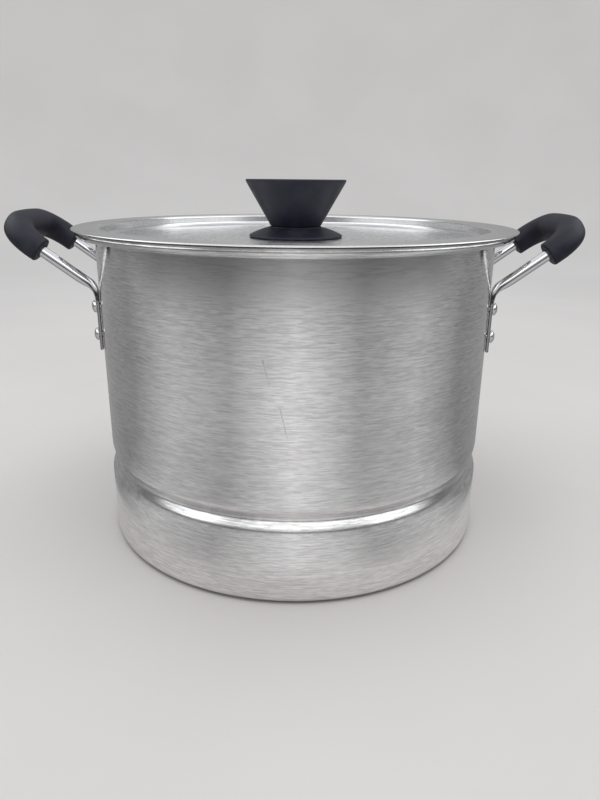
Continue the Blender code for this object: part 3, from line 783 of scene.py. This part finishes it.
def grip_rings():
    path = handle_path()
    is_round = [step[3] == 0.0 for step in path]
    first = next(i for i in range(len(path)) if is_round[i] and is_round[i + 1]) + 1
    path = path[first : len(path) - first]
    lengths = [0.0]
    for one, two in zip(path, path[1:]):
        lengths.append(lengths[-1] + (two[0] - one[0]).length)
    total = lengths[-1]
    skin, bore = [], []
    for (point, direction, flat, _), length in zip(path, lengths):
        swell = max(0.0, math.sin(math.pi * length / total)) ** 1.2
        edge = min(length, total - length)
        inside = 1 - min(1.0, edge / GRIP_EDGE)
        round_off = GRIP_EDGE * (1 - math.sqrt(max(0.0, 1 - inside**2)))
        width = GRIP_WIDTH + GRIP_WIDTH_SWELL * swell - 2 * round_off
        thickness = GRIP_THICKNESS + GRIP_THICKNESS_SWELL * swell - 2 * round_off
        outward = direction.cross(flat).normalized()
        middle = point + (outward + flat) * GRIP_SHIFT * swell
        skin.append(section(middle, direction, flat, superellipse(64, width, thickness, 2.4)))
        bore.append(section(point, direction, flat, superellipse(64, GRIP_BORE, GRIP_BORE, 2)))
    return skin, bore


def make_handles(chrome, plastic):
    tube = tube_rings()
    skin, bore = grip_rings()
    for side, turn in SIDES:
        spin = Matrix.Rotation(turn, 4, "Z")
        mesh = swept("handle_tube_" + side + "_fine", tube)
        mesh.transform(spin)
        piece(mesh.name, mesh, chrome, "pot", "handle_tube_" + side)
        mesh = swept("grip_" + side + "_fine", skin, bore)
        mesh.transform(spin)
        piece(mesh.name, mesh, plastic, "pot", "grip_" + side)


def make_rivets(steel):
    """A domed head outside each foot, a shank through foot and wall, and an upset end inside."""
    head, shank = RIVET_HEAD_RADIUS, RIVET_RADIUS
    seat = 2 * GAP + FOOT_THICKNESS
    tail = -SHEET - GAP - head * math.tan(math.pi / 48)
    turns = [math.radians(d) for d in range(90, -1, -9)]
    dome = [(head * math.cos(a), seat + 0.0003 + 0.0028 * math.sin(a)) for a in turns]
    dome[0] = (0, seat + 0.0031)
    outline = dome + [(head, seat), (shank, seat), (shank, tail), (head, tail)]
    outline += [(head - 0.0002, tail - 0.0005), (0.0034, tail - 0.0011), (0, tail - 0.0013)]
    for side, turn in SIDES:
        for end, lean in (("front", -FOOT_ANGLE), ("back", FOOT_ANGLE)):
            angle = turn + (lean if side == "right" else -lean)
            axis = Vector((math.cos(angle), math.sin(angle), 0))
            for level, height in RIVET_HEIGHTS:
                where = Matrix.Translation(axis * POT_RADIUS + Vector((0, 0, height)))
                spin = axis.to_track_quat("Z", "Y").to_matrix().to_4x4()
                name = f"rivet_{side}_{end}_{level}"
                mesh = turned(name + "_fine", outline, 40, 0.0003)
                mesh.transform(where @ spin)
                piece(mesh.name, mesh, steel, "pot", name)


# ---- Rack ----


def make_rack(material):
    hole = (RACK_FINGER_HOLE_RADIUS, RACK_TOP)
    edge, low = (RACK_RADIUS, RACK_TOP), (RACK_RADIUS, RACK_TOP - RACK_RIM_HEIGHT)
    upper = [hole, *fillet(hole, edge, low, RACK_RIM_FILLET, 6), low]
    outline = upper + offset(upper, -RACK_SHEET)[::-1]
    mesh = turned("steaming_rack_fine", outline, RACK_SEGMENTS)
    rack = piece("steaming_rack_fine", mesh, material, "rack", "steaming_rack")
    bm = bmesh.new()
    reach, wide, height = 0.003, RACK_HOLE_RADIUS, RACK_TOP - 0.0008
    drill = [(0, reach), (wide, reach), (wide, -reach), (0, -reach)]
    for ring in range(1, RACK_RINGS + 1):
        radius = RACK_FIRST_RING + ring * RACK_HOLE_PITCH
        count = RACK_HOLES_PER_RING * ring
        for i in range(count):
            angle = 2 * math.pi * (i + 0.5 * (ring % 2)) / count
            place = Vector((radius * math.cos(angle), radius * math.sin(angle), height))
            add_turned(bm, drill, 24, Matrix.Translation(place))
    carve(rack, finish_mesh("rack_holes", bm))


# ---- Studio ----


def open_sheet(name, profile, segments):
    """A surface turned round Z from its profile, open at both ends."""
    bm = bmesh.new()
    rings = []
    for radius, z in profile:
        turn = [2 * math.pi * i / segments for i in range(segments)]
        rings.append([bm.verts.new((radius * math.sin(a), -radius * math.cos(a), z)) for a in turn])
    for one, two in zip(rings, rings[1:]):
        for i in range(segments):
            j = (i + 1) % segments
            bm.faces.new((one[i], one[j], two[j], two[i]))
    made = bpy.data.objects.new(name, finish_mesh(name, bm, 60))
    bpy.context.scene.collection.objects.link(made)
    return made


def make_stage():
    """A pale round floor and, round it, a pale backdrop that sweeps up and lets the light through."""
    rings = [(0.001, 0), (0.5, 0), (COVE_RADIUS, 0)]
    floor = open_sheet("studio_floor", rings, STUDIO_SEGMENTS)
    sweep = [math.radians(9 * i) for i in range(11)]
    bend = COVE_BEND
    profile = [(COVE_RADIUS + bend * math.sin(a), bend * (1 - math.cos(a))) for a in sweep]
    profile.append((COVE_RADIUS + bend, COVE_HEIGHT))
    cove = open_sheet("studio_backdrop", profile, STUDIO_SEGMENTS)
    cove.visible_diffuse = False
    cove.visible_glossy = False
    cove.visible_shadow = False
    m = Nodes("studio_paper")
    m.set(Roughness=0.75, Specular_IOR_Level=0.25)
    cloud = m.noise(m.scaled(m.position(), (3, 3, 3)), 1.0, 3.0, 0.5)
    m.colour(m.mix(m.ramp(cloud, 0.3, 0.7), (0.70, 0.665, 0.645), (0.73, 0.695, 0.675)))
    for sheet in (floor, cove):
        sheet.data.materials.append(m.material)


def area_light(name, location, target, size, power):
    data = bpy.data.lights.new(name, "AREA")
    data.shape = "RECTANGLE"
    data.size, data.size_y = size
    data.energy = power
    made = bpy.data.objects.new(name, data)
    bpy.context.scene.collection.objects.link(made)
    made.location = location
    made.rotation_euler = (Vector(target) - Vector(location)).to_track_quat("-Z", "Y").to_euler()
    return made


def make_light():
    world = bpy.data.worlds.new("studio")
    bpy.context.scene.world = world
    world.use_nodes = True
    background = world.node_tree.nodes["Background"]
    background.inputs["Color"].default_value = (0.93, 0.97, 1.0, 1)
    background.inputs["Strength"].default_value = 0.75
    area_light("overhead", location=(0, -0.2, 1.9), target=(0, 0, 0), size=(1.8, 1.8), power=14)


def set_ramp(node, stops):
    ramp = node.color_ramp
    ramp.interpolation = "LINEAR"
    while len(ramp.elements) < len(stops):
        ramp.elements.new(0.5)
    for element, (position, colour) in zip(ramp.elements, stops):
        element.position = position
        element.color = (*colour, 1)


# Soft neutral cards, the same on both sides: degrees from the front, brightness.
CARDS = [(0, 0.60), (30, 0.30), (60, 0.40), (90, 0.20), (135, 0.25), (180, 0.35)]
CARD_RADIUS = 0.46
CARD_HEIGHT = 0.62
CARD_POWER = 1.3

# Above the cards a bright sky: its height in metres, lower in front and behind.
SKY_HEIGHT = (0.275, 0.325)
SKY_POWER = 1.8
SKY_TINT = (0.97, 0.985, 1.0)
AHEAD = (math.radians(35), math.radians(52))
SKY_DIP = 0.15
BEHIND = (math.radians(100), math.radians(135))
SKY_STEP = 0.35
TOP_HEIGHT = (0.60, 0.82)
TOP_TONE = 0.42

# A dark flag in front, between two heights, and a dark line all round but behind.
FLAG_FOOT = (0.155, 0.168)
FLAG_HEAD = (0.198, 0.206)
FLAG_SIDES = (math.radians(60), math.radians(90))
FLAG_TONE = 0.12
HORIZON_FOOT = (0.203, 0.210)
HORIZON_HEAD = (0.258, 0.270)
HORIZON_SIDES = (math.radians(115), math.radians(130))


def make_tent():
    """A mat, a ring of soft cards and a dome round the pot, seen only in reflections."""
    profile = [(0.185, 0.0012), (0.30, 0.0012), (CARD_RADIUS, 0.0012)]
    profile += [(CARD_RADIUS, CARD_HEIGHT * i / 20) for i in range(1, 21)]
    profile += [(0.40, 0.80), (0.26, 0.92), (0.02, 0.97)]
    tent = open_sheet("studio_cards", profile, CARD_SEGMENTS)
    tent.visible_camera = False
    tent.visible_diffuse = False
    tent.visible_shadow = False
    tent.visible_transmission = False
    tent.visible_volume_scatter = False
    m = Nodes("studio_cards")
    x, y, z = m.split()
    to_side = m.maths("ABSOLUTE", m.angle(x, y))

    def rising(value, limits):
        return m.ramp(value, *limits)

    def falling(value, limits, low=0.0):
        return m.ramp(value, *limits, 1.0, low)

    def both(one, two):
        return m.maths("MULTIPLY", one, two)

    bands = m.node("ValToRGB")
    set_ramp(bands, [(angle / 180, (tone, tone, tone)) for angle, tone in CARDS])
    m.join(m.maths("MULTIPLY", to_side, 1 / math.pi), bands.inputs[0])
    level = m.maths("MULTIPLY_ADD", falling(to_side, AHEAD), -SKY_DIP, z)
    level = m.maths("MULTIPLY_ADD", rising(to_side, BEHIND), -SKY_STEP, level)
    sky = rising(level, SKY_HEIGHT)
    flag = both(rising(z, FLAG_FOOT), falling(z, FLAG_HEAD))
    flag = both(flag, falling(to_side, FLAG_SIDES))
    line = both(rising(z, HORIZON_FOOT), falling(z, HORIZON_HEAD))
    flag = m.maths("MAXIMUM", flag, both(line, falling(to_side, HORIZON_SIDES)))
    power = m.maths("MULTIPLY_ADD", sky, SKY_POWER - CARD_POWER, CARD_POWER)
    power = both(power, falling(z, TOP_HEIGHT, TOP_TONE))
    power = both(power, m.maths("MULTIPLY_ADD", flag, FLAG_TONE - 1, 1.0))
    emission = m.node("Emission")
    m.join(m.mix(sky, bands.outputs[0], SKY_TINT), emission.inputs["Color"])
    m.join(power, emission.inputs["Strength"])
    output = next(n for n in m.tree.nodes if n.type == "OUTPUT_MATERIAL")
    m.join(emission.outputs[0], output.inputs["Surface"])
    tent.data.materials.append(m.material)


# ---- Camera ----


CAMERA_PLACE = (0, -0.51807, 0.27163)
CAMERA_PITCH, CAMERA_ROLL, CAMERA_YAW = 0.329654, 0.0094987, 0.0088422
SENSOR_WIDTH = 36
FOCAL_SHARE = 646.84 / 800  # focal length over the picture's longer side


def make_camera():
    pitch, roll, yaw = CAMERA_PITCH, CAMERA_ROLL, CAMERA_YAW
    ahead = Vector((math.sin(yaw) * math.cos(pitch), math.cos(yaw) * math.cos(pitch), -math.sin(pitch)))
    right = Vector((math.cos(yaw), -math.sin(yaw), 0))
    up = right.cross(ahead)
    across = right * math.cos(roll) + up * math.sin(roll)
    above = up * math.cos(roll) - right * math.sin(roll)
    data = bpy.data.cameras.new("camera")
    data.sensor_width = SENSOR_WIDTH
    data.lens = SENSOR_WIDTH * FOCAL_SHARE
    camera = bpy.data.objects.new("camera", data)
    bpy.context.scene.collection.objects.link(camera)
    place = Matrix((across, above, -ahead)).transposed().to_4x4()
    place.translation = CAMERA_PLACE
    camera.matrix_world = place
    data.clip_start, data.clip_end = 0.01, 50
    bpy.context.scene.camera = camera


# ---- Build ----

aluminium = brushed(
    "pot_aluminium",
    dark=(0.58, 0.57, 0.57),
    light=(1.0, 0.99, 0.99),
    rough_low=0.15,
    rough_high=0.20,
    lean=0.038,
    anisotropy=0.88,
)
lid_metal = spun(
    "lid_aluminium",
    dark=(0.68, 0.68, 0.69),
    light=(0.84, 0.84, 0.84),
    rough_low=0.20,
    rough_high=0.28,
    grain=0.06,
    anisotropy=0.3,
)
rack_metal = spun(
    "rack_aluminium",
    dark=(0.60, 0.60, 0.60),
    light=(0.80, 0.80, 0.80),
    rough_low=0.30,
    rough_high=0.44,
    grain=0.2,
    anisotropy=0.3,
)
chrome = polished(
    "handle_chrome",
    dark=(0.50, 0.50, 0.52),
    light=(0.85, 0.85, 0.87),
    rough_low=0.04,
    rough_high=0.10,
    stretch=(60, 60, 60),
    # the handles' flattened feet below this height get painted shade
    painted_shade_below=LEG_CORNER - 0.002,
)
steel = polished(
    "fastener_steel",
    dark=(0.45, 0.45, 0.45),
    light=(0.82, 0.82, 0.82),
    rough_low=0.16,
    rough_high=0.30,
    stretch=(260, 260, 260),
)
brass = polished(
    "insert_brass",
    dark=(0.50, 0.38, 0.16),
    light=(0.75, 0.60, 0.30),
    rough_low=0.25,
    rough_high=0.40,
    stretch=(200, 200, 900),
)
plastic = moulded("black_plastic")

make_pot(aluminium)
make_lid(lid_metal)
make_knob(plastic)
make_skirt(plastic)
make_fasteners(steel, brass)
make_handles(chrome, plastic)
make_rivets(steel)
make_rack(rack_metal)
make_stage()
make_light()
make_tent()
make_camera()
bpy.context.scene.view_settings.view_transform = "Standard"
